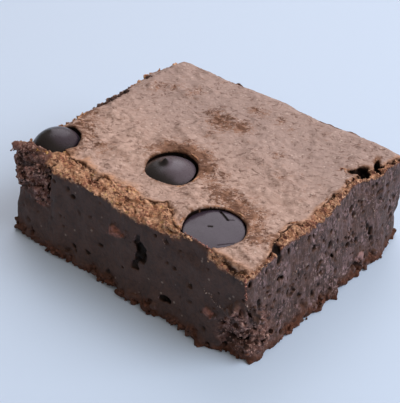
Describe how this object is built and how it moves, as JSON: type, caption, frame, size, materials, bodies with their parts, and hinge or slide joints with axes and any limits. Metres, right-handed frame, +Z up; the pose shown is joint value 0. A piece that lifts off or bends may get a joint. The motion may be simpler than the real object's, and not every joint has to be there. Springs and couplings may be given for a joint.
{
  "type": "chocolate brownie",
  "caption": "Square-cut chocolate brownie: dense dark crumb with cut sides, a pale papery crust that flakes at the rims, and chocolate chips baked into the top.",
  "frame": {"origin": "centre of the bounding box's underside, on the surface that the brownie rests on", "axes": "+Z up; +X along the long cut face, towards the corner nearest the viewer; -Y out of the long cut face; +X out of the short cut face"},
  "size_m": [0.061, 0.0504, 0.0216],
  "materials": {
    "crumb": "matt, dense, slightly moist dark cocoa crumb, smooth where the knife passed and crumbly at the foot",
    "crust": "matt papery pale brown crust, finely wrinkled, orange-brown and flaky at the rims",
    "chip_chocolate": "satin dark chocolate"
  },
  "bodies": {
    "root": {"crumb_block": "crumb", "chip_left": "chip_chocolate", "chip_centre": "chip_chocolate", "chip_front": "chip_chocolate"}
  },
  "joints": []
}
